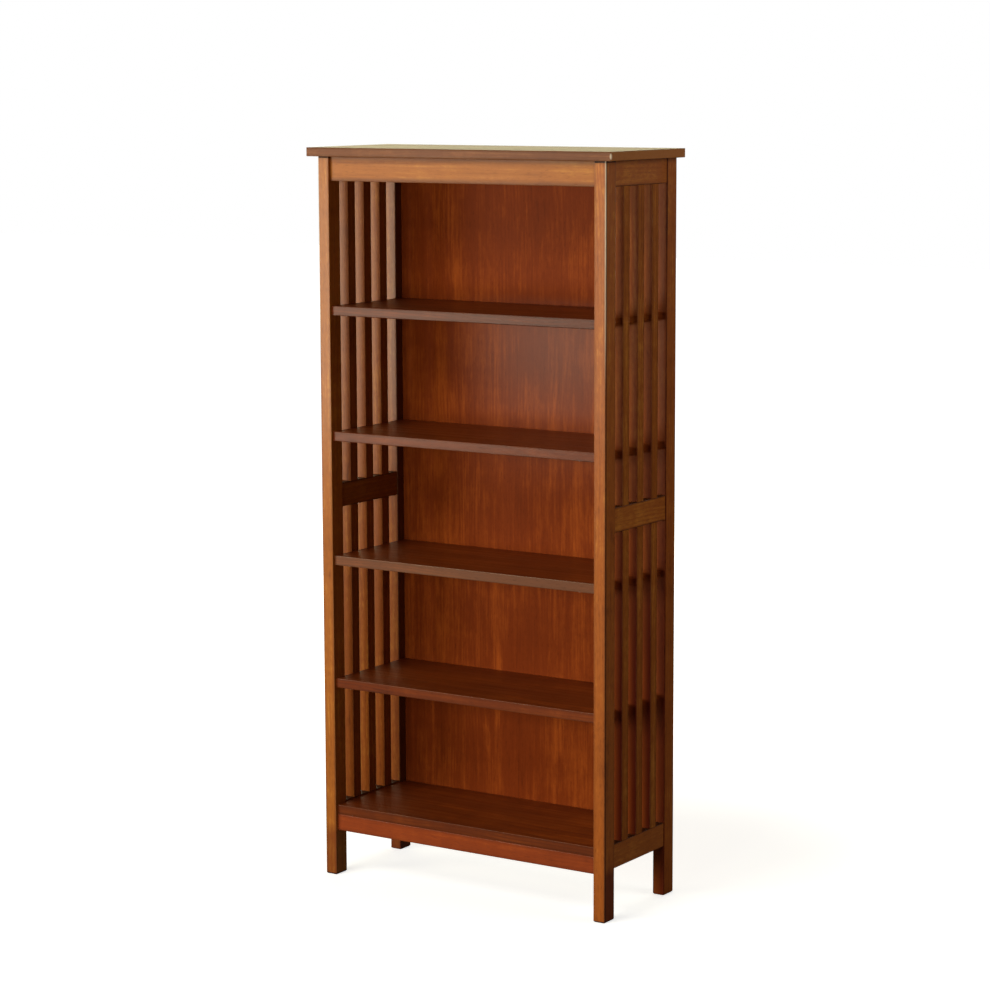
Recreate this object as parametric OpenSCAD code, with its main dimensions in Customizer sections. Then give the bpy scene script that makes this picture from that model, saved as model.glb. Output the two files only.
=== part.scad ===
// Free-standing slatted media shelf. Two slatted side frames on square posts carry an
// overhanging top, four fixed shelves and a bottom shelf, with a panel let in at the back.
// X runs along the width, Y from the front to the wall and Z up. The origin is on the
// floor, in the middle of the footprint of the top board. Sizes are in millimetres.

/* [Overall] */
// Height from the floor to the upper face of the top board
unit_h = 1218; // [1180:1:1400]

/* [Top board] */
// Width of the top board, side to side
top_w = 580; // [480:1:760]
// Depth of the top board, front to wall
top_d = 229; // [215:1:320]
// Thickness of the top board
top_t = 14.5; // [13:0.5:24]
// How far the top stands out past the posts at each side
side_overhang = 16; // [4:0.5:30]
// How far the top stands out past the posts at the front
front_overhang = 11; // [4:0.5:25]
// Radius of the upright corners of the top board
top_corner_r = 2.5; // [1:0.5:8]

/* [Posts] */
// Width of a post across the front
post_w = 21; // [19.5:0.5:34]
// Depth of a post, front to back
post_d = 30; // [28:0.5:44]
// Chamfer round the foot of a post
foot_chamfer = 2; // [0.5:0.25:4]

/* [Side frames] */
// Height of a side rail
rail_h = 40; // [36:1:60]
// Underside of the bottom side rails above the floor
bottom_rail_z = 83; // [50:1:110]
// Underside of the middle side rails above the floor
middle_rail_z = 624; // [500:1:760]
// How far rails and slats lie behind both faces of the posts
frame_recess = 1.25; // [0.5:0.25:2.5]
// Width of a slat, front to back
slat_w = 20; // [14:0.5:28]

/* [Shelves] */
// Thickness of every shelf
shelf_t = 16; // [14.5:0.5:22]
// Upper face of the bottom shelf above the floor
bottom_shelf_top = 120.5; // [105:0.5:160]
// Upper face of the lowest of the four shelves above the floor
lowest_shelf_top = 337.5; // [300:0.5:380]
// Distance from one of the four shelves to the next
shelf_pitch = 207.5; // [180:0.5:235]
// How far shelves and front rails lie behind the front of the posts
front_setback = 5.5; // [2:0.5:7]
// How far the bottom shelf and the rear apron lie in front of the rear of the posts
rear_setback = 2.5; // [1:0.5:5]

/* [Cross rails] */
// Thickness of the header, the aprons and the rear rail
cross_rail_t = 16; // [14:0.5:17]
// Height of the header and of the rear rail under the top
header_h = 40; // [34:1:60]
// Height of the aprons under the bottom shelf
apron_h = 28; // [24:1:34]

/* [Back panel] */
// Thickness of the back panel
panel_t = 5; // [3:0.5:6]
// Space between the back panel and the rear of the posts
panel_inset = 7.5; // [5:0.5:8.5]
// Depth of the grooves that hold the back panel in the rear posts
panel_groove = 6; // [4:0.5:8]
// Depth of the grooves that hold it in the top board and the bottom shelf
panel_end_groove = 5; // [3:0.5:6]
// Play of the back panel in the bottom of its grooves
panel_play = 0.3; // [0.2:0.1:0.8]

/* [Frame joints] */
// Length of the rail tenons in the posts
tenon_l = 12; // [8:0.5:14]
// Shoulder between the outer face of a rail and its tenon
tenon_shoulder = 3; // [2:0.25:4]
// Shoulder above and below a rail tenon
tenon_end_shoulder = 5; // [3:0.5:8]
// Wood left between the rail tenons and the bores from the inner side of a post
tenon_web = 1; // [0.6:0.1:1.5]
// Length of the slat tenons in the rails
slat_tenon_l = 8; // [5:0.5:12]
// Shoulder on all four sides of a slat tenon
slat_shoulder = 4.5; // [3:0.25:5.5]
// Depth of the dowel and bolt bores in the inner side of a post
cross_depth = 8; // [6:0.5:9]
// Play round a tenon, a dowel, a screw or a pin
joint_play = 0.15; // [0.1:0.05:0.3]
// Play at the blind end of a tenon, a dowel or a screw
end_play = 0.3; // [0.2:0.1:0.8]

/* [Dowels] */
// Diameter of every dowel
dowel_d = 6; // [5:0.5:7]
// Depth of the dowel bores in the ends of the cross rails
dowel_rail_depth = 22; // [15:1:30]
// Distance from the upper and lower edge of a cross rail to its dowels
dowel_edge = 7; // [6:0.5:9]
// Depth of the dowel bores in the tops of the posts
dowel_post_depth = 21; // [15:1:30]
// Depth of the dowel bores under the top board
dowel_top_depth = 9; // [6:0.5:11]
// Distance of the top dowels from the outer side of a post
dowel_side = 7; // [6:0.5:8]
// Distance of the top dowels from the front or rear of a post
dowel_front = 9; // [7:0.5:10]

/* [Cam joints] */
// Diameter of a cam lock
cam_d = 15; // [12:0.5:18]
// Distance from the shelf's end to the middle of a cam lock
cam_reach = 30; // [24:1:40]
// Shelf thickness left above a cam lock
cam_skin = 3.5; // [2.5:0.5:5]
// Length of the cross recess in the face of a cam lock
cam_recess_l = 10; // [7:0.5:11]
// Width of the cross recess in the face of a cam lock
cam_recess_w = 1.6; // [1:0.1:2]
// Depth of the cross recess in the face of a cam lock
cam_recess_depth = 1.2; // [0.6:0.1:1.8]
// Diameter of the bore for a bolt in the shelf's end
bolt_bore_d = 8; // [7.5:0.5:9]
// Diameter of a bolt's thread
bolt_thread_d = 5; // [4:0.5:6]
// Diameter of a bolt's shank
bolt_shank_d = 4; // [3:0.5:5]
// Diameter of a bolt's collar and head
bolt_head_d = 7; // [6:0.25:7.25]
// Thickness of a bolt's collar
bolt_collar_l = 1.5; // [1:0.25:3]
// Length of a bolt's head
bolt_head_l = 5; // [3:0.5:7]
// How far a bolt's head reaches past the middle of its cam lock
bolt_head_past = 1; // [0.5:0.25:2]
// Distance from the front edge of a shelf to its front bolts
front_bolt_inset = 8; // [6:0.5:10]
// Distance from the back panel to the rear bolts
rear_bolt_inset = 8.5; // [8:0.25:10]

/* [Screws and pins] */
// Diameter of the shank of a top screw
screw_d = 4; // [3:0.5:5]
// Diameter of the head of a top screw
screw_head_d = 8; // [7:0.5:9]
// Height of the head of a top screw
screw_head_h = 2.6; // [1.5:0.1:3.5]
// Play round the head of a top screw in its counterbore
counterbore_play = 0.5; // [0.2:0.1:1]
// Wood between the head of a top screw and the top board
screw_grip = 14; // [10:1:20]
// Depth of a top screw in the top board
screw_bite = 10; // [6:0.5:11]
// Length of the cross recess in a screw head
screw_recess_l = 5; // [3:0.5:6]
// Width of the cross recess in a screw head
screw_recess_w = 1.2; // [0.8:0.1:1.6]
// Depth of the cross recess in a screw head
screw_recess_depth = 1.3; // [0.6:0.1:1.4]
// Diameter of a panel pin
pin_d = 1.6; // [1.2:0.1:2]
// Diameter of the head of a panel pin
pin_head_d = 3.6; // [2.5:0.1:4.5]
// Thickness of the head of a panel pin
pin_head_h = 0.8; // [0.5:0.1:1.2]
// Depth of a panel pin in a shelf
pin_bite = 14; // [10:1:20]
// Diameter of the two wall fixing holes
wall_hole_d = 5; // [4:0.5:7]
// Distance between the two wall fixing holes
wall_hole_spacing = 300; // [200:1:400]

/* [Easing] */
// Radius of the long edges of posts, rails and shelves
arris_r = 1.2; // [0.5:0.1:2]
// Radius of the long edges of the slats
slat_arris_r = 0.6; // [0.3:0.1:1.5]
// Radius of the edges of the top board
top_arris_r = 1.5; // [0.5:0.1:3]

/* [Hidden] */

wood = [0.62, 0.36, 0.17];
wood_dark = [0.42, 0.20, 0.09];
panel_red = [0.41, 0.16, 0.07];
beech = [0.80, 0.66, 0.45];
zinc = [0.72, 0.72, 0.70];

LEFT = -1;
RIGHT = 1;
FRONT = -1;
REAR = 1;
slat_count = 3;
shelf_count = 4;
pins_per_shelf = 4;
arc_steps = 4;
round_fn = 48;
cut = 1;

// The frame under the top board
frame_w = top_w - 2 * side_overhang;
frame_d = top_d - front_overhang;
post_h = unit_h - top_t;
front_y = front_overhang - top_d / 2;
rear_y = top_d / 2;
inner_x = frame_w / 2 - post_w;
rail_x = inner_x + frame_recess;
rail_t = post_w - 2 * frame_recess;
top_rail_z = post_h - rail_h;
rail_zs = [bottom_rail_z, middle_rail_z, top_rail_z];
rail_l = frame_d - 2 * post_d;
rail_y = front_y + post_d;
tenon_x = inner_x + cross_depth + tenon_web;
tenon_t = rail_x + rail_t - tenon_shoulder - tenon_x;
slat_gap = (rail_l - slat_count * slat_w) / (slat_count + 1);

// The shelves, the cross rails and the panel between the side frames
panel_rear_y = rear_y - panel_inset;
panel_front_y = panel_rear_y - panel_t;
shelf_front_y = front_y + front_setback;
shelf_d = panel_front_y - shelf_front_y;
bottom_shelf_rear_y = rear_y - rear_setback;
bottom_shelf_d = bottom_shelf_rear_y - shelf_front_y;
header_z = post_h - header_h;
apron_z = bottom_shelf_top - shelf_t - apron_h;
rear_rail_y = panel_front_y - cross_rail_t;
rear_apron_y = bottom_shelf_rear_y - cross_rail_t;
cam_depth = shelf_t - cam_skin;
wall_hole_z = header_z + header_h / 2;

function slat_y(i) = rail_y + slat_gap + i * (slat_w + slat_gap);
function gap_middle_y(i) = rail_y + slat_gap / 2 + i * (slat_w + slat_gap);
function shelf_top(i) = lowest_shelf_top + (shelf_count - 1 - i) * shelf_pitch;
function post_y(end) = end == FRONT ? front_y : rear_y - post_d;

// Upper face of each shelf, from the top one down, with the bottom shelf last
shelf_tops = [for (i = [0:shelf_count]) i < shelf_count ? shelf_top(i) : bottom_shelf_top];

// Corners of the cross rails: [front face, underside, height]
cross_rails = [
    [shelf_front_y, header_z, header_h],
    [shelf_front_y, apron_z, apron_h],
    [rear_rail_y, header_z, header_h],
    [rear_apron_y, apron_z, apron_h]
];

// Points of one rounded corner, a quarter turn from the angle start
function corner(x, y, r, start) =
    [for (i = [0:arc_steps]) [x + r * cos(start + 90 * i / arc_steps), y + r * sin(start + 90 * i / arc_steps)]];

// Outline of a rectangle with one corner at the origin and all its corners rounded
function eased(w, h, r) = concat(
    corner(w - r, h - r, r, 0), corner(r, h - r, r, 90), corner(r, r, r, 180), corner(w - r, r, r, 270)
);

// Boards along X, Y and Z with their four long edges eased
module board_x(at, size, r) {
    translate(at) rotate([90, 0, 90]) linear_extrude(size.x) polygon(eased(size.y, size.z, r));
}

module board_y(at, size, r) {
    translate(at + [0, size.y, 0]) rotate([90, 0, 0]) linear_extrude(size.y) polygon(eased(size.x, size.z, r));
}

module board_z(at, size, r) {
    translate(at) linear_extrude(size.z) polygon(eased(size.x, size.y, r));
}

// A plain block given by its lowest corner and its size
module block(at, size) {
    translate(at) cube(size);
}

// Round bores and rods along each axis, from one end
module rod_x(at, d, l) {
    translate(at) rotate([0, 90, 0]) cylinder(d = d, h = l, $fn = round_fn);
}

module rod_y(at, d, l) {
    translate(at) rotate([-90, 0, 0]) cylinder(d = d, h = l, $fn = round_fn);
}

module rod_z(at, d, l) {
    translate(at) cylinder(d = d, h = l, $fn = round_fn);
}

// Pieces are drawn on the right side and mirrored for the left one
module on_side(side) {
    if (side == LEFT) mirror([1, 0, 0]) children();
    else children();
}

module on_both_sides() {
    for (side = [LEFT, RIGHT]) on_side(side) children();
}

// Centre lines of the bolts, at the inner side of the right posts: one call for each of them
module at_bolts(shelves) {
    for (i = shelves, y = [shelf_front_y + front_bolt_inset, panel_front_y - rear_bolt_inset])
        translate([inner_x, y, shelf_tops[i] - shelf_t / 2]) children();
}

// Centre lines of the dowels of the given cross rails, at the inner side of the right posts
module at_rail_dowels(rails) {
    for (rail = rails, z = [rail[1] + dowel_edge, rail[1] + rail[2] - dowel_edge])
        translate([inner_x, rail[0] + cross_rail_t / 2, z]) children();
}

// Centre lines of the top dowels, at the tops of the right posts
module at_top_dowels() {
    for (y = [front_y + dowel_front, rear_y - dowel_front])
        translate([frame_w / 2 - dowel_side, y, post_h]) children();
}

// Centre lines of the top screws, at the tops of the right rail
module at_top_screws() {
    for (y = [gap_middle_y(0), gap_middle_y(slat_count)])
        translate([rail_x + rail_t / 2, y, post_h]) children();
}

// Places of the panel pins on the rear face of the panel, evenly spaced along each shelf
module at_pins(shelves) {
    pin_step = 2 * inner_x / pins_per_shelf;
    for (i = shelves, k = [0:pins_per_shelf - 1])
        translate([(k + 0.5) * pin_step - inner_x, panel_rear_y, shelf_tops[i] - shelf_t / 2]) children();
}

module at_wall_holes() {
    for (x = [-wall_hole_spacing / 2, wall_hole_spacing / 2])
        translate([x, 0, wall_hole_z]) children();
}

// Tenon of a side rail at one of its ends, or the mortise for it with some play
module rail_tenon(end, z, play, blind) {
    l = tenon_l + blind;
    y = end == FRONT ? rail_y - l : rail_y + rail_l;
    block(
        [tenon_x - play, y, z + tenon_end_shoulder - play],
        [tenon_t + 2 * play, l, rail_h - 2 * tenon_end_shoulder + 2 * play]
    );
}

// Tenon of a slat that reaches down from z when l is negative and up when it is positive
module slat_tenon(i, z, l, play) {
    block(
        [rail_x + slat_shoulder - play, slat_y(i) + slat_shoulder - play, min(z, z + l)],
        [rail_t - 2 * slat_shoulder + 2 * play, slat_w - 2 * slat_shoulder + 2 * play, abs(l)]
    );
}

// Side view of a post with its foot chamfered
function footed(w) = [
    [foot_chamfer, 0], [w - foot_chamfer, 0], [w, foot_chamfer], [w, post_h], [0, post_h], [0, foot_chamfer]
];

module post(side, end) {
    y = post_y(end);
    color(wood) on_side(side) difference() {
        intersection() {
            board_z([inner_x, y, 0], [post_w, post_d, post_h], arris_r);
            translate([inner_x, y + post_d, 0]) rotate([90, 0, 0]) linear_extrude(post_d)
                polygon(footed(post_w));
            translate([inner_x, y, 0]) rotate([90, 0, 90]) linear_extrude(post_w)
                polygon(footed(post_d));
        }
        for (z = rail_zs) rail_tenon(end, z, joint_play, end_play);
        intersection() {
            block([inner_x - cut, y, 0], [post_w, post_d, post_h]);
            union() {
                at_bolts([0:shelf_count]) rod_x([-cut, 0, 0], bolt_thread_d + 2 * joint_play, cross_depth + cut);
                at_rail_dowels(cross_rails) rod_x([-cut, 0, 0], dowel_d + 2 * joint_play, cross_depth + cut);
                at_top_dowels() rod_z([0, 0, -dowel_post_depth], dowel_d + 2 * joint_play, dowel_post_depth + cut);
            }
        }
        if (end == REAR) block(
            [inner_x - cut, panel_front_y - joint_play, bottom_shelf_top - panel_end_groove],
            [panel_groove + cut, panel_t + 2 * joint_play, post_h]
        );
    }
}

// Side rail with its tenons. above and below say where it takes slats
module side_rail(side, z, above, below) {
    color(wood) on_side(side) difference() {
        union() {
            board_y([rail_x, rail_y, z], [rail_t, rail_l, rail_h], arris_r);
            rail_tenon(FRONT, z, 0, 0);
            rail_tenon(REAR, z, 0, 0);
        }
        for (i = [0:slat_count - 1]) {
            if (above) slat_tenon(i, z + rail_h + cut, -slat_tenon_l - end_play - cut, joint_play);
            if (below) slat_tenon(i, z - cut, slat_tenon_l + end_play + cut, joint_play);
        }
        if (!above) at_top_screws() {
            rod_z([0, 0, -rail_h - cut], screw_d + 2 * joint_play, rail_h + 2 * cut);
            rod_z([0, 0, -rail_h - cut], screw_head_d + 2 * counterbore_play, rail_h - screw_grip + cut);
        }
    }
}

// Slat i between two rails, from z_low to z_high
module slat(side, i, z_low, z_high) {
    color(wood) on_side(side) {
        board_z([rail_x, slat_y(i), z_low], [rail_t, slat_w, z_high - z_low], slat_arris_r);
        slat_tenon(i, z_low, -slat_tenon_l, 0);
        slat_tenon(i, z_high, slat_tenon_l, 0);
    }
}

module upper_slat(side, i) {
    slat(side, i, middle_rail_z + rail_h, top_rail_z);
}

module lower_slat(side, i) {
    slat(side, i, bottom_rail_z + rail_h, middle_rail_z);
}

// Shelf i with its bolt bores, its cam pockets and the holes of its pins
module shelf_board(i, d) {
    difference() {
        board_x([-inner_x, shelf_front_y, shelf_tops[i] - shelf_t], [2 * inner_x, d, shelf_t], arris_r);
        on_both_sides() at_bolts([i]) {
            rod_x([-cam_reach, 0, 0], bolt_bore_d, cam_reach + cut);
            rod_z([-cam_reach, 0, -shelf_t / 2 - cut], cam_d + 2 * joint_play, cam_depth + cut);
        }
    }
}

module shelf(i) {
    color(wood_dark) difference() {
        shelf_board(i, shelf_d);
        at_pins([i]) rod_y([0, -panel_t - pin_bite - end_play, 0], pin_d + 2 * joint_play, pin_bite + panel_t);
    }
}

module bottom_shelf() {
    color(wood_dark) difference() {
        shelf_board(shelf_count, bottom_shelf_d);
        block(
            [-inner_x - cut, panel_front_y - joint_play, bottom_shelf_top - panel_end_groove],
            [2 * inner_x + 2 * cut, panel_t + 2 * joint_play, panel_end_groove + cut]
        );
    }
}

// Rail across the front or the back, with the bores for its dowels
module cross_rail(rail) {
    difference() {
        board_x([-inner_x, rail[0], rail[1]], [2 * inner_x, cross_rail_t, rail[2]], arris_r);
        on_both_sides() at_rail_dowels([rail])
            rod_x([-dowel_rail_depth, 0, 0], dowel_d + 2 * joint_play, dowel_rail_depth + cut);
    }
}

module header_rail() {
    color(wood) cross_rail(cross_rails[0]);
}

module front_apron() {
    color(wood) cross_rail(cross_rails[1]);
}

module rear_top_rail() {
    color(wood) difference() {
        cross_rail(cross_rails[2]);
        at_wall_holes() rod_y([0, rear_rail_y - cut, 0], wall_hole_d, cross_rail_t + 2 * cut);
    }
}

module rear_apron() {
    color(wood) cross_rail(cross_rails[3]);
}

module top_panel() {
    size = [top_w, top_d, top_t];
    corner_at = [-top_w / 2, -top_d / 2, post_h];
    color(wood) difference() {
        intersection() {
            board_x(corner_at, size, top_arris_r);
            board_y(corner_at, size, top_arris_r);
            board_z(corner_at, size, top_corner_r);
        }
        on_both_sides() {
            at_top_dowels() rod_z([0, 0, -cut], dowel_d + 2 * joint_play, dowel_top_depth + cut);
            at_top_screws() rod_z([0, 0, -cut], screw_d + 2 * joint_play, screw_bite + end_play + cut);
        }
        block(
            [-inner_x - panel_groove, panel_front_y - joint_play, post_h - cut],
            [2 * inner_x + 2 * panel_groove, panel_t + 2 * joint_play, panel_end_groove + cut]
        );
    }
}

module back_panel() {
    low = bottom_shelf_top - panel_end_groove + panel_play;
    high = post_h + panel_end_groove - panel_play;
    half_w = inner_x + panel_groove - panel_play;
    color(panel_red) difference() {
        block([-half_w, panel_front_y, low], [2 * half_w, panel_t, high - low]);
        at_pins([0:shelf_count - 1]) rod_y([0, -panel_t - cut, 0], pin_d + 2 * joint_play, panel_t + 2 * cut);
        at_wall_holes() rod_y([0, panel_front_y - cut, 0], wall_hole_d, panel_t + 2 * cut);
    }
}

// Bolts in the posts, whose heads lie in the cam locks
module cam_bolts() {
    head_end = -cam_reach - bolt_head_past;
    color(zinc) on_both_sides() at_bolts([0:shelf_count]) {
        rod_x([0, 0, 0], bolt_thread_d, cross_depth - end_play);
        rod_x([-bolt_collar_l, 0, 0], bolt_head_d, bolt_collar_l);
        rod_x([head_end, 0, 0], bolt_shank_d, -head_end);
        rod_x([head_end, 0, 0], bolt_head_d, bolt_head_l);
    }
}

// Cam locks in the undersides of the shelves, open towards their bolts
module cam_locks() {
    low = -shelf_t / 2 + joint_play;
    color(zinc) on_both_sides() at_bolts([0:shelf_count]) translate([-cam_reach, 0, 0]) difference() {
        rod_z([0, 0, low], cam_d, cam_depth - 2 * joint_play);
        rod_x([-bolt_head_past - end_play, 0, 0], bolt_head_d + 2 * joint_play, cam_d);
        for (turn = [0, 90]) rotate([0, 0, turn])
            block([-cam_recess_l / 2, -cam_recess_w / 2, low - cut], [cam_recess_l, cam_recess_w, cam_recess_depth + cut]);
    }
}

module rail_dowels() {
    color(beech) on_both_sides() at_rail_dowels(cross_rails) rod_x(
        [end_play - dowel_rail_depth, 0, 0], dowel_d, dowel_rail_depth + cross_depth - 2 * end_play
    );
}

module top_dowels() {
    color(beech) on_both_sides() at_top_dowels() rod_z(
        [0, 0, end_play - dowel_post_depth], dowel_d, dowel_post_depth + dowel_top_depth - 2 * end_play
    );
}

// Screws up through the top side rails, with their heads deep in the counterbores
module top_screws() {
    color(zinc) on_both_sides() at_top_screws() difference() {
        union() {
            rod_z([0, 0, -screw_grip], screw_d, screw_grip + screw_bite);
            rod_z([0, 0, -screw_grip - screw_head_h], screw_head_d, screw_head_h);
        }
        for (turn = [0, 90]) rotate([0, 0, turn]) block(
            [-screw_recess_l / 2, -screw_recess_w / 2, -screw_grip - screw_head_h - cut],
            [screw_recess_l, screw_recess_w, screw_recess_depth + cut]
        );
    }
}

module back_panel_pins() {
    color(zinc) at_pins([0:shelf_count - 1]) {
        rod_y([0, -panel_t - pin_bite, 0], pin_d, panel_t + pin_bite);
        rod_y([0, 0, 0], pin_head_d, pin_head_h);
    }
}

top_panel();
post(LEFT, FRONT);  // front_left_post
post(RIGHT, FRONT);  // front_right_post
post(LEFT, REAR);  // rear_left_post
post(RIGHT, REAR);  // rear_right_post
side_rail(LEFT, top_rail_z, false, true);  // left_top_rail
side_rail(LEFT, middle_rail_z, true, true);  // left_middle_rail
side_rail(LEFT, bottom_rail_z, true, false);  // left_bottom_rail
side_rail(RIGHT, top_rail_z, false, true);  // right_top_rail
side_rail(RIGHT, middle_rail_z, true, true);  // right_middle_rail
side_rail(RIGHT, bottom_rail_z, true, false);  // right_bottom_rail
upper_slat(LEFT, 0);  // left_upper_slat_1
upper_slat(LEFT, 1);  // left_upper_slat_2
upper_slat(LEFT, 2);  // left_upper_slat_3
lower_slat(LEFT, 0);  // left_lower_slat_1
lower_slat(LEFT, 1);  // left_lower_slat_2
lower_slat(LEFT, 2);  // left_lower_slat_3
upper_slat(RIGHT, 0);  // right_upper_slat_1
upper_slat(RIGHT, 1);  // right_upper_slat_2
upper_slat(RIGHT, 2);  // right_upper_slat_3
lower_slat(RIGHT, 0);  // right_lower_slat_1
lower_slat(RIGHT, 1);  // right_lower_slat_2
lower_slat(RIGHT, 2);  // right_lower_slat_3
header_rail();
front_apron();
rear_top_rail();
rear_apron();
shelf(0);  // shelf_1
shelf(1);  // shelf_2
shelf(2);  // shelf_3
shelf(3);  // shelf_4
bottom_shelf();
back_panel();
cam_bolts();
cam_locks();
rail_dowels();
top_dowels();
top_screws();
back_panel_pins();
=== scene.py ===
"""Finishes, light and camera for a free-standing media shelf with slatted sides.

The boards are the frame's own solids. Each gets its own cut of stained wood, with the grain along
the board, its rings about its own pith and the glaze and rubbed arrises that follow its own edges.
Part of that glaze is painted shade and part of the rubbing painted highlight; painted shade also
lies on some faces and feet.
"""

import math
import random

import bpy
from mathutils import Matrix, Vector


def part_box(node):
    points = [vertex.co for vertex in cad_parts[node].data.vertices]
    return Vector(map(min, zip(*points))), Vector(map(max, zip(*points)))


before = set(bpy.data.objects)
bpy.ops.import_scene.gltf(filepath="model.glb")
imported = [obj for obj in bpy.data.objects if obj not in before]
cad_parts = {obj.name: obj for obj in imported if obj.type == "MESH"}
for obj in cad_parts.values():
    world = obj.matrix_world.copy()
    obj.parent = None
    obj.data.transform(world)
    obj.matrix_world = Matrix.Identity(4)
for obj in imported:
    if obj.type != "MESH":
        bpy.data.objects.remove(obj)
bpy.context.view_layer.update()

X, Y, Z = 0, 1, 2


def srgb(red, green, blue):
    """A colour as a paint chart gives it, 0 to 255, turned into light values with full alpha."""
    part = lambda c: c / 12.92 if c <= 0.04045 else ((c + 0.055) / 1.055) ** 2.4
    return (part(red / 255), part(green / 255), part(blue / 255), 1.0)


class Wire:
    """One output of a node. Arithmetic on wires adds Math nodes to the finish they belong to."""

    def __init__(self, finish, socket):
        self.finish = finish
        self.socket = socket

    def math(self, operation, *values):
        return self.finish.node("ShaderNodeMath", {"operation": operation}, dict(enumerate(values)))

    def __add__(self, other):
        return self.math("ADD", self, other)

    def __sub__(self, other):
        return self.math("SUBTRACT", self, other)

    def __mul__(self, other):
        return self.math("MULTIPLY", self, other)

    def __truediv__(self, other):
        return self.math("DIVIDE", self, other)

    def __pow__(self, other):
        return self.math("POWER", self, other)

    def __rsub__(self, other):
        return self.math("SUBTRACT", other, self)

    __radd__ = __add__
    __rmul__ = __mul__

    def least(self, other):
        return self.math("MINIMUM", self, other)

    def most(self, other):
        return self.math("MAXIMUM", self, other)

    def wave(self):
        return self.math("SINE", self)

    def size(self):
        return self.math("ABSOLUTE", self)

    def ease(self, low, high):
        """0 below low, 1 above high and a smooth step between them; high may be the lower one."""
        return self.finish.node(
            "ShaderNodeMapRange",
            {"interpolation_type": "SMOOTHSTEP"},
            {"Value": self, "From Min": low, "From Max": high, "To Min": 0.0, "To Max": 1.0},
        )


class Finish:
    """A material under construction."""

    def __init__(self, name):
        self.material = bpy.data.materials.new(name)
        self.material.use_nodes = True
        self.tree = self.material.node_tree
        self.tree.nodes.clear()

    @classmethod
    def around(cls, tree):
        """The same tools for a node tree that exists already, such as the world's."""
        finish = cls.__new__(cls)
        finish.tree = tree
        tree.nodes.clear()
        return finish

    def node(self, kind, settings=None, values=None, out=0):
        """Adds one node: its settings first, then the values or wires of its sockets."""
        made = self.tree.nodes.new(kind)
        for key, value in (settings or {}).items():
            setattr(made, key, value)
        for key, value in (values or {}).items():
            if isinstance(value, Wire):
                self.tree.links.new(value.socket, made.inputs[key])
            else:
                made.inputs[key].default_value = value
        return None if out is None else Wire(self, made.outputs[out])

    def place(self):
        """Where a point of the surface lies, as wires for X, Y and Z in metres."""
        where = self.node("ShaderNodeTexCoord", out="Object")
        return [
            self.node("ShaderNodeSeparateXYZ", values={0: where}, out=axis) for axis in (X, Y, Z)
        ]

    def point(self, x, y, z):
        return self.node("ShaderNodeCombineXYZ", values={0: x, 1: y, 2: z})

    def noise(self, where, scale, detail=2.0, rough=0.5, warp=0.0):
        """Smooth random values about 0.5 at each point."""
        return self.node(
            "ShaderNodeTexNoise",
            values={
                "Vector": where,
                "Scale": scale,
                "Detail": detail,
                "Roughness": rough,
                "Distortion": warp,
            },
        )

    def tint(self, low, high, by):
        """Colour low turning into colour high as by goes from 0 to 1."""
        return self.node("ShaderNodeMix", {"data_type": "RGBA"}, {0: by, 6: low, 7: high}, out=2)

    def bump(self, height, depth):
        return self.node(
            "ShaderNodeBump", values={"Strength": 1.0, "Distance": depth, "Height": height}
        )

    def surface(self, **values):
        """The shader itself. Spaces in its socket names are written as underscores."""
        named = {key.replace("_", " "): value for key, value in values.items()}
        shader = self.node("ShaderNodeBsdfPrincipled", values=named, out="BSDF")
        self.node("ShaderNodeOutputMaterial", values={"Surface": shader}, out=None)
        return self.material


# Stain tones from the palest wood to the glaze in corners, which is partly painted shade, and how
# the wood and its lacquer behave. Front tones tint the face towards the viewer: painted shade on
# the right slats and the rear right post, a tone elsewhere. Inside tones are painted shade on the
# face towards the shelves, and the foot tone is painted shade on the feet.
WOOD = {
    "rings": 0.2,
    "streaks": 0.6,
    "mottles": 0.25,
    "flecks": 0.3,
    "flecks_per_metre": 16.0,
    "ripples": 0.35,
    "blotches": 0.85,
    "coat": 0.15,
    "coat_roughness": 0.2,
    "coat_inside": 1.0,
    "polish": 0.0,
    "specular": 0.12,
    "relief": 0.00006,
    "wear_and_highlight": 0.6,
    "arris_highlight": 0.0,
    "side_line": 0.0,
    "corner_glint": 0.0,
    "edge_glaze_and_shade": 0.3,
    "glaze_reach": 0.006,
    "ledge_shade": 0.0,
    "end_tint": 0.2,
    "end_reach": 0.009,
    "end_dull": 0.0,
    "front_tint": 0.0,
    "inside_shade": 0.0,
    "foot_shade": 0.0,
    "foot_front_shade": 0.0,
    "foot": srgb(97, 26, 16),
    "front": srgb(92, 17, 8),
    "front_inside": srgb(132, 59, 17),
    "inside": srgb(40, 14, 16),
}
FRAME = {
    **WOOD,
    "pale": srgb(208, 127, 48),
    "body": srgb(175, 94, 33),
    "dark": srgb(120, 57, 20),
    "glaze": srgb(62, 27, 12),
    "end": srgb(62, 27, 12),
    "streaks": 0.45,
    "mottles": 0.55,
    "end_tint": 0.25,
}
# The side rails: a darker glaze on their edges, partly painted shade, and painted shade on their
# top ledges and inner faces.
SIDE_RAIL = {
    **FRAME,
    "glaze": srgb(36, 15, 9),
    "wear_and_highlight": 0.1,
    "edge_glaze_and_shade": 0.6,
    "glaze_reach": 0.003,
    "ledge_shade": 0.9,
    "inside_shade": 0.45,
}
# The front posts: a painted highlight high on the outer arris, a dark line beside it, and a
# near-black painted shadow at both ends.
FRONT_POST = {
    **FRAME,
    "arris_highlight": 0.9,
    "side_line": 0.6,
    "end": srgb(20, 8, 6),
    "end_tint": 2.4,
    "end_reach": 0.0036,
    "end_dull": 1.0,
}
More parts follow.
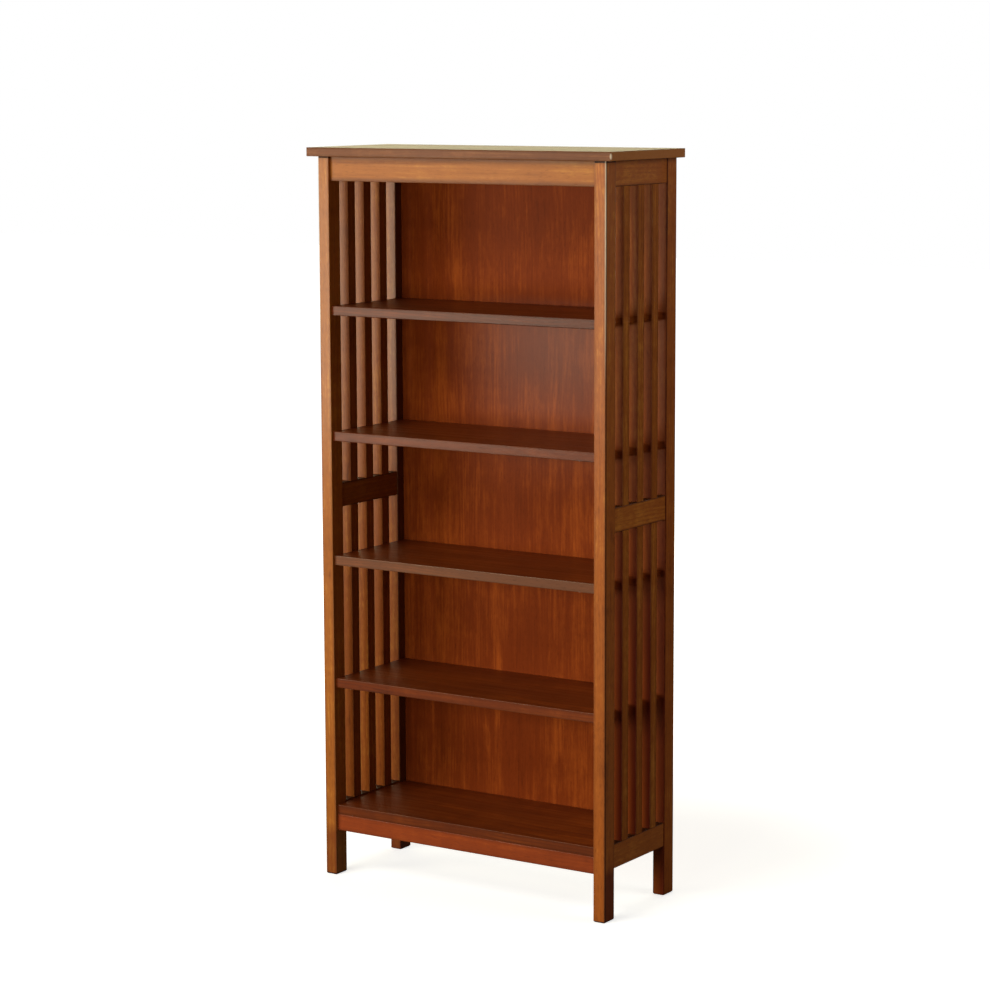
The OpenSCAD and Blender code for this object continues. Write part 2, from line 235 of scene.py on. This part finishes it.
# The left front post: painted shade on the front of its foot.
FRONT_LEFT = {
    **FRONT_POST,
    "pale": srgb(203, 130, 49),
    "body": srgb(170, 97, 34),
    "dark": srgb(117, 59, 21),
    "coat": 0.24,
    "foot_front_shade": 0.48,
}
# The right front post: painted shade on its foot.
FRONT_RIGHT = {**FRONT_POST, "foot_shade": 0.7}
# The rear left post: a slightly darker front tone, and painted shade on its inner face and its
# foot.
REAR_LEFT = {
    **FRAME,
    "coat": 0.26,
    "wear_and_highlight": 0.1,
    "front_tint": 0.15,
    "inside_shade": 0.75,
    "foot_shade": 0.55,
    "foot_front_shade": 0.62,
}
# The left slats: painted shade on their inner faces.
LEFT_SLAT = {
    **FRAME,
    "coat": 0.38,
    "coat_roughness": 0.3,
    "coat_inside": 0.2,
    "specular": 0.03,
    "inside_shade": 0.3,
    "wear_and_highlight": 0.4,
}
# The right slats: tones a little darker than the frame's, and painted shade on their fronts,
# darkest at the outer edge and lower down.
RIGHT_SLAT = {
    **FRAME,
    "pale": srgb(198, 122, 50),
    "body": srgb(163, 88, 33),
    "dark": srgb(110, 54, 21),
    "coat": 0.02,
    "specular": 0.04,
    "front_tint": 0.7,
    "wear_and_highlight": 0.4,
}
# The rear right post: a near-black glaze on its edges that is painted shade, and painted shade on
# its front and inner faces.
REAR_RIGHT = {
    **FRAME,
    "pale": srgb(200, 119, 46),
    "body": srgb(168, 87, 32),
    "dark": srgb(114, 53, 19),
    "glaze": srgb(30, 13, 8),
    "coat": 0.04,
    "specular": 0.06,
    "edge_glaze_and_shade": 0.8,
    "glaze_reach": 0.003,
    "front_tint": 0.6,
    "inside_shade": 0.5,
    "wear_and_highlight": 0.1,
}
# The header: dark bands along its top and bottom edges, partly painted shade under the top.
HEADER = {
    **FRAME,
    "pale": srgb(216, 145, 50),
    "body": srgb(172, 99, 31),
    "glaze": srgb(80, 32, 14),
    "streaks": 0.85,
    "mottles": 0.25,
    "ripples": 0.12,
    "coat": 0.13,
    "edge_glaze_and_shade": 0.75,
    "glaze_reach": 0.01,
}
SHELF = {
    **WOOD,
    "pale": srgb(143, 66, 19),
    "body": srgb(114, 48, 13),
    "dark": srgb(73, 27, 9),
    "glaze": srgb(40, 16, 8),
    # Brighter, redder ends: painted light on ends that lie in shade.
    "end": srgb(165, 62, 24),
    "rings": 0.25,
    "streaks": 0.7,
    "coat": 0.2,
    "wear_and_highlight": 0.2,
    "end_tint": 0.8,
    "end_reach": 0.001,
}
DARK_SHELF = {
    **SHELF,
    "pale": srgb(122, 54, 15),
    "body": srgb(96, 39, 11),
    "dark": srgb(62, 22, 8),
    "coat": 0.14,
}
# A shelf whose front face is tinted a paler greyish tan, more strongly lower down.
GREYISH_FRONT_SHELF = {**SHELF, "front_tint": 0.35, "front_inside": srgb(116, 88, 65)}
LOW_SHELF = {**SHELF, "coat": 0.11}
BOTTOM_SHELF = {**LOW_SHELF, "front_tint": 0.18, "front_inside": srgb(60, 28, 10)}
APRON = {
    **WOOD,
    "pale": srgb(184, 86, 34),
    "body": srgb(148, 63, 24),
    "dark": srgb(100, 40, 16),
    "glaze": srgb(52, 20, 9),
    "end": srgb(52, 20, 9),
    "coat": 0.2,
    "wear_and_highlight": 0.1,
}
# The top: a painted glint at its right front corner.
TOP = {
    **WOOD,
    "pale": srgb(150, 92, 50),
    "body": srgb(120, 67, 35),
    "dark": srgb(82, 43, 25),
    "glaze": srgb(54, 28, 16),
    "end": srgb(198, 122, 56),
    "rings": 0.25,
    "streaks": 0.7,
    "coat": 0.12,
    "coat_roughness": 0.24,
    "relief": 0.000015,
    "wear_and_highlight": 0.8,
    "corner_glint": 0.9,
    "end_tint": 0.7,
    "end_reach": 0.001,
}
PANEL = {
    **WOOD,
    "pale": srgb(168, 80, 28),
    "body": srgb(128, 53, 18),
    "dark": srgb(80, 29, 10),
    "glaze": srgb(42, 14, 7),
    "end": srgb(42, 14, 7),
    "rings": 0.12,
    "streaks": 0.45,
    "flecks": 0.45,
    "flecks_per_metre": 20.0,
    "ripples": 0.15,
    "mottles": 0.2,
    "blotches": 0.8,
    "coat": 0.05,
    "coat_roughness": 0.38,
    "specular": 0.0,
    "polish": 0.34,
}
# Rubbed arrises, partly painted highlight, and the pale colour of the painted highlights and the
# glint.
RUBBED_ARRIS_AND_HIGHLIGHT = srgb(198, 138, 98)
PAINTED_HIGHLIGHT = srgb(240, 216, 186)
WHITE = (1.0, 1.0, 1.0, 1.0)
RING_WIDTH = 0.0055

# How far the outer and the inner faces of the two sides lie from the middle, in metres
SIDE_OUTSIDE = 0.274
SIDE_INSIDE = 0.254
# Where the painted shade at the feet, the fading front tone, the painted arris highlight and the
# glossier patch of the panel begin and where they are full, in metres
FOOT_TONE_HEIGHTS = (0.095, 0.07)
FRONT_TONE_FADE_HEIGHTS = (0.35, 1.0)
ARRIS_HIGHLIGHT_HEIGHTS = (0.84, 0.98)
POLISH_HEIGHTS = (0.62, 0.9)
POLISH_END_HEIGHTS = (0.98, 0.94)
POLISH_SIDEWAYS = (-0.22, 0.08)


def stained_wood(name, box, along, stock, luck):
    """Stained and lacquered wood for a board that fills the box, with its grain along one axis."""
    finish = Finish(name)
    low, high = box
    place = finish.place()
    across = [axis for axis in (X, Y, Z) if axis != along]
    shift = [luck.uniform(-9, 9) for _ in range(3)]
    u = place[along] + shift[0]
    v = place[across[0]] + shift[1]
    w = place[across[1]] + shift[2]

    def figure(lengthwise, crosswise, detail, rough=0.5, warp=0.0):
        """Noise drawn out along the grain, with its waves per metre lengthwise and crosswise."""
        where = finish.point(u * lengthwise, v * crosswise, w * crosswise)
        return finish.noise(where, 1.0, detail, rough, warp)

    # Growth rings about a pith that lies beside the board and leans a little along it
    pith = [
        (low[axis] + high[axis]) / 2 + luck.choice((-1, 1)) * luck.uniform(0.05, 0.14)
        for axis in across
    ]
    lean = luck.uniform(-0.012, 0.012)
    drift = figure(1.7, 5.0, detail=3.0)
    from_pith = [place[axis] - at for axis, at in zip(across, pith)]
    radius = (from_pith[0] * from_pith[0] + from_pith[1] * from_pith[1]) ** 0.5
    growth = radius + (drift - 0.5) * 0.055 + place[along] * lean
    ring = (growth * (2 * math.pi / RING_WIDTH)).wave() * 0.5 + 0.5
    late_wood = ring ** 2.6
    ring_strength = figure(2.0, 12.0, detail=1.0).ease(0.36, 0.66)

    # Fibres, short flecks, open pores, ripples across the grain and the blotches of the stain
    fibre = figure(9.0, 420.0, detail=3.0, rough=0.6)
    streak = figure(3.0, 110.0, detail=2.0, rough=0.55)
    fleck = figure(stock["flecks_per_metre"], 240.0, detail=3.0, rough=0.6, warp=0.4)
    mottle = figure(90.0, 210.0, detail=2.0, rough=0.6)
    pore = figure(95.0, 1500.0, detail=1.0).ease(0.63, 0.74)
    ripple = figure(42.0, 11.0, detail=1.0)
    blotch = figure(6.0, 20.0, detail=3.0, rough=0.55, warp=0.6)
    patch = figure(1.4, 6.0, detail=2.0)

    shade = (
        0.5
        + luck.uniform(-0.05, 0.05)
        + (late_wood - 0.35) * ring_strength * stock["rings"]
        + (streak - 0.5) * stock["streaks"]
        + (mottle - 0.5) * stock["mottles"]
        + (fleck - 0.5) * stock["flecks"]
        + (fibre - 0.5) * 0.35
        + (ripple - 0.5) * stock["ripples"]
        + (blotch - 0.5) * stock["blotches"]
        + (patch - 0.5) * 0.5
    )
    wood = finish.tint(stock["pale"], stock["body"], shade.ease(0.05, 0.55))
    wood = finish.tint(wood, stock["dark"], shade.ease(0.5, 1.15))

    # Glaze along the long edges, partly painted shade; painted shade on ledges; a tone at the ends,
    # which is a dark painted shadow at both ends of the front posts and painted light on the
    # shelves' ends
    inset = {axis: (place[axis] - low[axis]).least(high[axis] - place[axis]) for axis in (X, Y, Z)}
    from_arris = inset[across[0]].most(inset[across[1]])
    unevenness = (blotch - 0.5) * 0.006 + (streak - 0.5) * 0.003
    # On the header, the side rails and the rear right post this edge glaze is partly painted shade.
    glaze = (from_arris + unevenness).ease(stock["glaze_reach"], 0.0) * stock["edge_glaze_and_shade"]
    ragged = unevenness / 0.009
    near_end = (inset[along] / stock["end_reach"] + ragged).ease(1.0, 0.0)
    tint_at_end = (near_end * stock["end_tint"]).least(1.0)
    shade_on_ledge = inset[Z].ease(0.0012, 0.0004) * stock["ledge_shade"]
    wood = finish.tint(wood, stock["glaze"], glaze.most(shade_on_ledge))
    wood = finish.tint(wood, stock["end"], tint_at_end)

    # Front faces in their own tone, redder outside than inside and stronger lower down, which is
    # painted shade on the right slats and the rear right post; painted shade on inner faces and
    # feet
    aside = place[X].size()
    behind_front = place[Y] - low[Y]
    inward = aside.ease(SIDE_OUTSIDE - 0.0025, SIDE_OUTSIDE - 0.0185)
    on_front = behind_front.ease(0.0015, 0.0005)
    on_inside = aside.ease(SIDE_INSIDE + 0.0009, SIDE_INSIDE + 0.0002)
    front_tone = finish.tint(stock["front"], stock["front_inside"], inward)
    weaker_above = 1.3 - place[Z].ease(*FRONT_TONE_FADE_HEIGHTS) * 0.6
    wood = finish.tint(wood, front_tone, on_front * weaker_above * stock["front_tint"])
    wood = finish.tint(wood, stock["inside"], on_inside * stock["inside_shade"])
    at_foot = place[Z].ease(*FOOT_TONE_HEIGHTS)
    more_in_front = stock["foot_front_shade"] - stock["foot_shade"]
    foot_shade = at_foot * (on_front * more_in_front + stock["foot_shade"])
    wood = finish.tint(wood, stock["foot"], foot_shade)
    wood = finish.tint(wood, stock["glaze"], pore * 0.38)

    # Rubbed arrises, partly painted highlight; a painted highlight high on the front posts' outer
    # arris beside its dark line; a painted glint at one corner of the top
    rub = figure(11.0, 30.0, detail=2.0, rough=0.6).ease(0.36, 0.64)
    worn_and_highlit = from_arris.ease(0.0013, 0.0003) * (rub * 0.3 + 0.22) * stock["wear_and_highlight"]
    wood = finish.tint(wood, RUBBED_ARRIS_AND_HIGHLIGHT, worn_and_highlit)
    on_outside = aside.ease(SIDE_OUTSIDE - 0.0012, SIDE_OUTSIDE - 0.0003)
    beside_arris = on_outside * behind_front.ease(0.0048, 0.0028)
    wood = finish.tint(wood, stock["glaze"], beside_arris * stock["side_line"])
    near_outside = aside.ease(SIDE_OUTSIDE - 0.008, SIDE_OUTSIDE - 0.004)
    outer_arris = from_arris.ease(0.0022, 0.0009) * near_outside * behind_front.ease(0.01, 0.006)
    highlight_mask = outer_arris * place[Z].ease(*ARRIS_HIGHLIGHT_HEIGHTS) * (rub * 0.35 + 0.65)
    wood = finish.tint(wood, PAINTED_HIGHLIGHT, highlight_mask * stock["arris_highlight"])
    from_corner = [place[X] - high[X], behind_front, (place[Z] - (low[Z] + high[Z]) / 2) * 0.55]
    corner_distance = (from_corner[X] ** 2 + from_corner[Y] ** 2 + from_corner[Z] ** 2) ** 0.5
    wood = finish.tint(wood, PAINTED_HIGHLIGHT, corner_distance.ease(0.0034, 0.0018) * stock["corner_glint"])

    # The lacquer: broken by pores and wear, thinner inside, glossier where it is polished
    relief = (fibre - 0.5) * 0.35 + (late_wood - 0.5) * 0.25 - pore * 0.8
    roughness = 0.44 + (streak - 0.5) * 0.25 + pore * 0.15 + worn_and_highlit * 0.1
    coat = (1.0 - pore * 0.3 - worn_and_highlit * 0.2 + (blotch - 0.5) * 0.3) * stock["coat"]
    coat = coat * (inward * (stock["coat_inside"] - 1.0) + 1.0)
    polished = place[Z].ease(*POLISH_HEIGHTS) * place[Z].ease(*POLISH_END_HEIGHTS)
    polished = polished * place[X].ease(*POLISH_SIDEWAYS)
    coat = (coat + polished * stock["polish"]) * (1.0 - tint_at_end * stock["end_dull"] - shade_on_ledge)
    return finish.surface(
        Base_Color=wood,
        Roughness=roughness,
        Coat_Weight=coat,
        Specular_IOR_Level=stock["specular"],
        Coat_Roughness=stock["coat_roughness"],
        Coat_IOR=1.5,
        Normal=finish.bump(relief, stock["relief"]),
    )


def plain_beech(name, along, luck):
    """Bare beech for the dowels: pale, with short dark flecks and pressed flutes."""
    finish = Finish(name)
    place = finish.place()
    across = [place[axis] for axis in (X, Y, Z) if axis != along]
    shift = luck.uniform(-9, 9)

    def figure(lengthwise, crosswise, detail):
        """Noise drawn out along the dowel, with its waves per metre lengthwise and crosswise."""
        lengthways = place[along] * lengthwise + shift
        where = finish.point(lengthways, across[0] * crosswise, across[1] * crosswise)
        return finish.noise(where, 1.0, detail)

    grain = figure(20.0, 500.0, detail=3.0)
    fleck = figure(160.0, 900.0, detail=1.0).ease(0.6, 0.7)
    wood = finish.tint(srgb(226, 190, 140), srgb(190, 148, 98), grain.ease(0.3, 0.7))
    wood = finish.tint(wood, srgb(132, 92, 56), fleck * 0.5)
    return finish.surface(
        Base_Color=wood,
        Roughness=0.62 + (grain - 0.5) * 0.2,
        Normal=finish.bump(grain - fleck * 0.4, 0.0001),
    )


def plated_metal(name, tone, rough, luck):
    """Metal of a small fitting: dull spangles, fine scratches and a duller film in patches."""
    finish = Finish(name)
    x, y, z = finish.place()
    shift = luck.uniform(-9, 9)
    cloud = finish.noise(finish.point(x + shift, y, z), 260.0, 3.0, 0.6)
    scratch = finish.noise(finish.point(x * 300.0, y * 2600.0 + shift, z * 1500.0), 1.0, 2.0, 0.6)
    grit = finish.noise(finish.point(x, y + shift, z), 1800.0, 2.0)
    metal = finish.tint(srgb(*tone), srgb(*[c * 0.72 for c in tone]), cloud.ease(0.35, 0.7))
    return finish.surface(
        Base_Color=metal,
        Metallic=1.0 - cloud.ease(0.6, 0.8) * 0.15,
        Roughness=rough + (cloud - 0.5) * 0.25 + (scratch - 0.5) * 0.12,
        Normal=finish.bump(grit * 0.6 + scratch * 0.4, 0.00004),
    )


def boards():
    """Each board with the axis of its grain and the wood it is cut from."""
    sides = {
        "left": (FRONT_LEFT, REAR_LEFT, LEFT_SLAT),
        "right": (FRONT_RIGHT, REAR_RIGHT, RIGHT_SLAT),
    }
    for side, (front_stock, rear_stock, slat_stock) in sides.items():
        yield f"front_{side}_post", Z, front_stock
        yield f"rear_{side}_post", Z, rear_stock
        for level in ("top", "middle", "bottom"):
            yield f"{side}_{level}_rail", Y, SIDE_RAIL
        for row in ("upper", "lower"):
            for place in (1, 2, 3):
                yield f"{side}_{row}_slat_{place}", Z, slat_stock
    for rail in ("header_rail", "rear_top_rail"):
        yield rail, X, HEADER
    for rail in ("front_apron", "rear_apron"):
        yield rail, X, APRON
    yield "shelf_1", X, DARK_SHELF
    yield "shelf_2", X, SHELF
    yield "shelf_3", X, GREYISH_FRONT_SHELF
    yield "shelf_4", X, LOW_SHELF
    yield "bottom_shelf", X, BOTTOM_SHELF
    yield "top_panel", X, TOP
    yield "back_panel", Z, PANEL


def dress(node, material):
    """Gives a solid of the frame its finish."""
    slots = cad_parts[node].data.materials
    slots.clear()
    slots.append(material)


def finish_the_shelf():
    luck = random.Random(7)
    for node, along, stock in boards():
        dress(node, stained_wood(f"{node}_wood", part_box(node), along, stock, luck))
    for node, along in (("rail_dowels", X), ("top_dowels", Z)):
        dress(node, plain_beech(f"{node}_beech", along, luck))
    dress("cam_locks", plated_metal("cast_zinc", (176, 178, 176), 0.42, luck))
    dress("cam_bolts", plated_metal("bolt_steel", (196, 197, 192), 0.3, luck))
    dress("top_screws", plated_metal("screw_steel", (198, 192, 170), 0.32, luck))
    dress("back_panel_pins", plated_metal("pin_steel", (170, 170, 168), 0.36, luck))


def make_camera():
    """The photograph's standpoint, as turns about the upright, down and about the line of sight."""
    standpoint = (2.5753, -3.9171, 1.3457)
    lens_millimetres = 105.39
    yaw, down_tilt, roll = 0.5814, 0.1465, 0.0036
    reach = math.cos(down_tilt)
    ahead = Vector((-math.sin(yaw) * reach, math.cos(yaw) * reach, -math.sin(down_tilt)))
    level = Vector((math.cos(yaw), math.sin(yaw), 0.0))
    down = ahead.cross(level)
    right = level * math.cos(roll) + down * math.sin(roll)
    below = down * math.cos(roll) - level * math.sin(roll)
    data = bpy.data.cameras.new("camera")
    data.sensor_width = 36.0
    data.lens = lens_millimetres
    camera = bpy.data.objects.new("camera", data)
    turn = Matrix((right, -below, -ahead)).transposed().to_4x4()
    camera.matrix_world = Matrix.Translation(standpoint) @ turn
    bpy.context.collection.objects.link(camera)
    bpy.context.scene.camera = camera


def make_lamp(name, at, aim, size, watts, colour):
    """A rectangular studio lamp that faces the point it aims at."""
    data = bpy.data.lights.new(name, "AREA")
    data.shape = "RECTANGLE"
    data.size, data.size_y = size
    data.energy = watts
    data.color = colour
    lamp = bpy.data.objects.new(name, data)
    lamp.matrix_world = Matrix.Translation(at) @ (
        (Vector(at) - Vector(aim)).to_track_quat("Z", "Y").to_matrix().to_4x4()
    )
    bpy.context.collection.objects.link(lamp)


def make_light():
    """The lamps: name, place, aim, size, watts and colour."""
    front_aim, high_aim = (0.0, 0.0, 0.75), (0.0, 0.0, 0.7)
    side_aim, rear_aim, back_aim = (0.27, 0.0, 0.9), (0.0, 0.1, 0.9), (0.0, 0.1, 0.7)
    make_lamp("key", (-1.9, -2.57, 0.78), front_aim, (1.3, 0.9), 43.0, (1.0, 0.94, 0.74))
    make_lamp("front_fill", (-0.1, -3.2, 0.95), front_aim, (2.0, 1.1), 34.0, (1.0, 0.96, 0.84))
    make_lamp("high_front", (-0.6, -2.4, 2.6), high_aim, (1.2, 1.0), 28.0, (1.0, 0.97, 0.88))
    make_lamp("side_fill", (1.6, 0.4, 1.5), side_aim, (0.9, 0.9), 6.1, (1.0, 0.98, 0.88))
    make_lamp("rear_fill", (-2.5, 2.95, 1.75), rear_aim, (2.9, 1.2), 31.0, (1.0, 0.92, 0.53))
    make_lamp("back_fill", (-0.2, 3.3, 1.3), back_aim, (1.6, 1.2), 30.0, (1.0, 0.97, 0.9))


def make_world():
    """White where the camera looks past the object, and a dim room for everything else."""
    world = bpy.data.worlds.new("studio")
    world.use_nodes = True
    studio = Finish.around(world.node_tree)
    seen = studio.node("ShaderNodeLightPath", out="Is Camera Ray")
    mirrored = studio.node("ShaderNodeLightPath", out="Is Glossy Ray")
    room = studio.node(
        "ShaderNodeBackground",
        values={"Color": (1.0, 0.95, 0.88, 1.0), "Strength": 0.025 + mirrored * 0.15},
    )
    white = studio.node("ShaderNodeBackground", values={"Color": WHITE, "Strength": 1.0})
    shown = studio.node("ShaderNodeMixShader", values={0: seen, 1: room, 2: white})
    studio.node("ShaderNodeOutputWorld", values={"Surface": shown}, out=None)
    bpy.context.scene.world = world


def make_floor():
    """A pale floor that holds the object's shadow and can't be seen from below."""
    mesh = bpy.data.meshes.new("floor")
    half = 14.0
    corners = [(-half, -half, 0), (half, -half, 0), (half, half, 0), (-half, half, 0)]
    mesh.from_pydata(corners, [], [(0, 1, 2, 3)])
    floor = bpy.data.objects.new("floor", mesh)
    bpy.context.collection.objects.link(floor)
    finish = Finish("pale_floor")
    x, y, _ = finish.place()
    pale = (0.9, 0.9, 0.9, 1.0)
    unseen_tone = (0.26, 0.25, 0.24, 1.0)
    mirrored_tone = (0.16, 0.15, 0.14, 1.0)
    far = ((x * x + y * y) ** 0.5).ease(0.5, 1.3)
    paint = finish.node("ShaderNodeBsdfDiffuse", values={"Color": pale})
    lift = finish.node("ShaderNodeEmission", values={"Color": WHITE, "Strength": far * 0.5 + 0.68})
    seen = finish.node("ShaderNodeLightPath", out="Is Camera Ray")
    mirrored = finish.node("ShaderNodeLightPath", out="Is Glossy Ray")
    shade = finish.tint(unseen_tone, mirrored_tone, mirrored)
    dim = finish.node("ShaderNodeBsdfDiffuse", values={"Color": shade})
    lit = finish.node("ShaderNodeAddShader", values={0: paint, 1: lift})
    top_side = finish.node("ShaderNodeMixShader", values={0: seen, 1: dim, 2: lit})
    beneath = finish.node("ShaderNodeNewGeometry", out="Backfacing")
    clear = finish.node("ShaderNodeBsdfTransparent")
    shown = finish.node("ShaderNodeMixShader", values={0: beneath, 1: top_side, 2: clear})
    finish.node("ShaderNodeOutputMaterial", values={"Surface": shown}, out=None)
    mesh.materials.append(finish.material)


make_camera()
make_light()
make_world()
make_floor()
finish_the_shelf()

bpy.context.scene.view_settings.view_transform = "Standard"
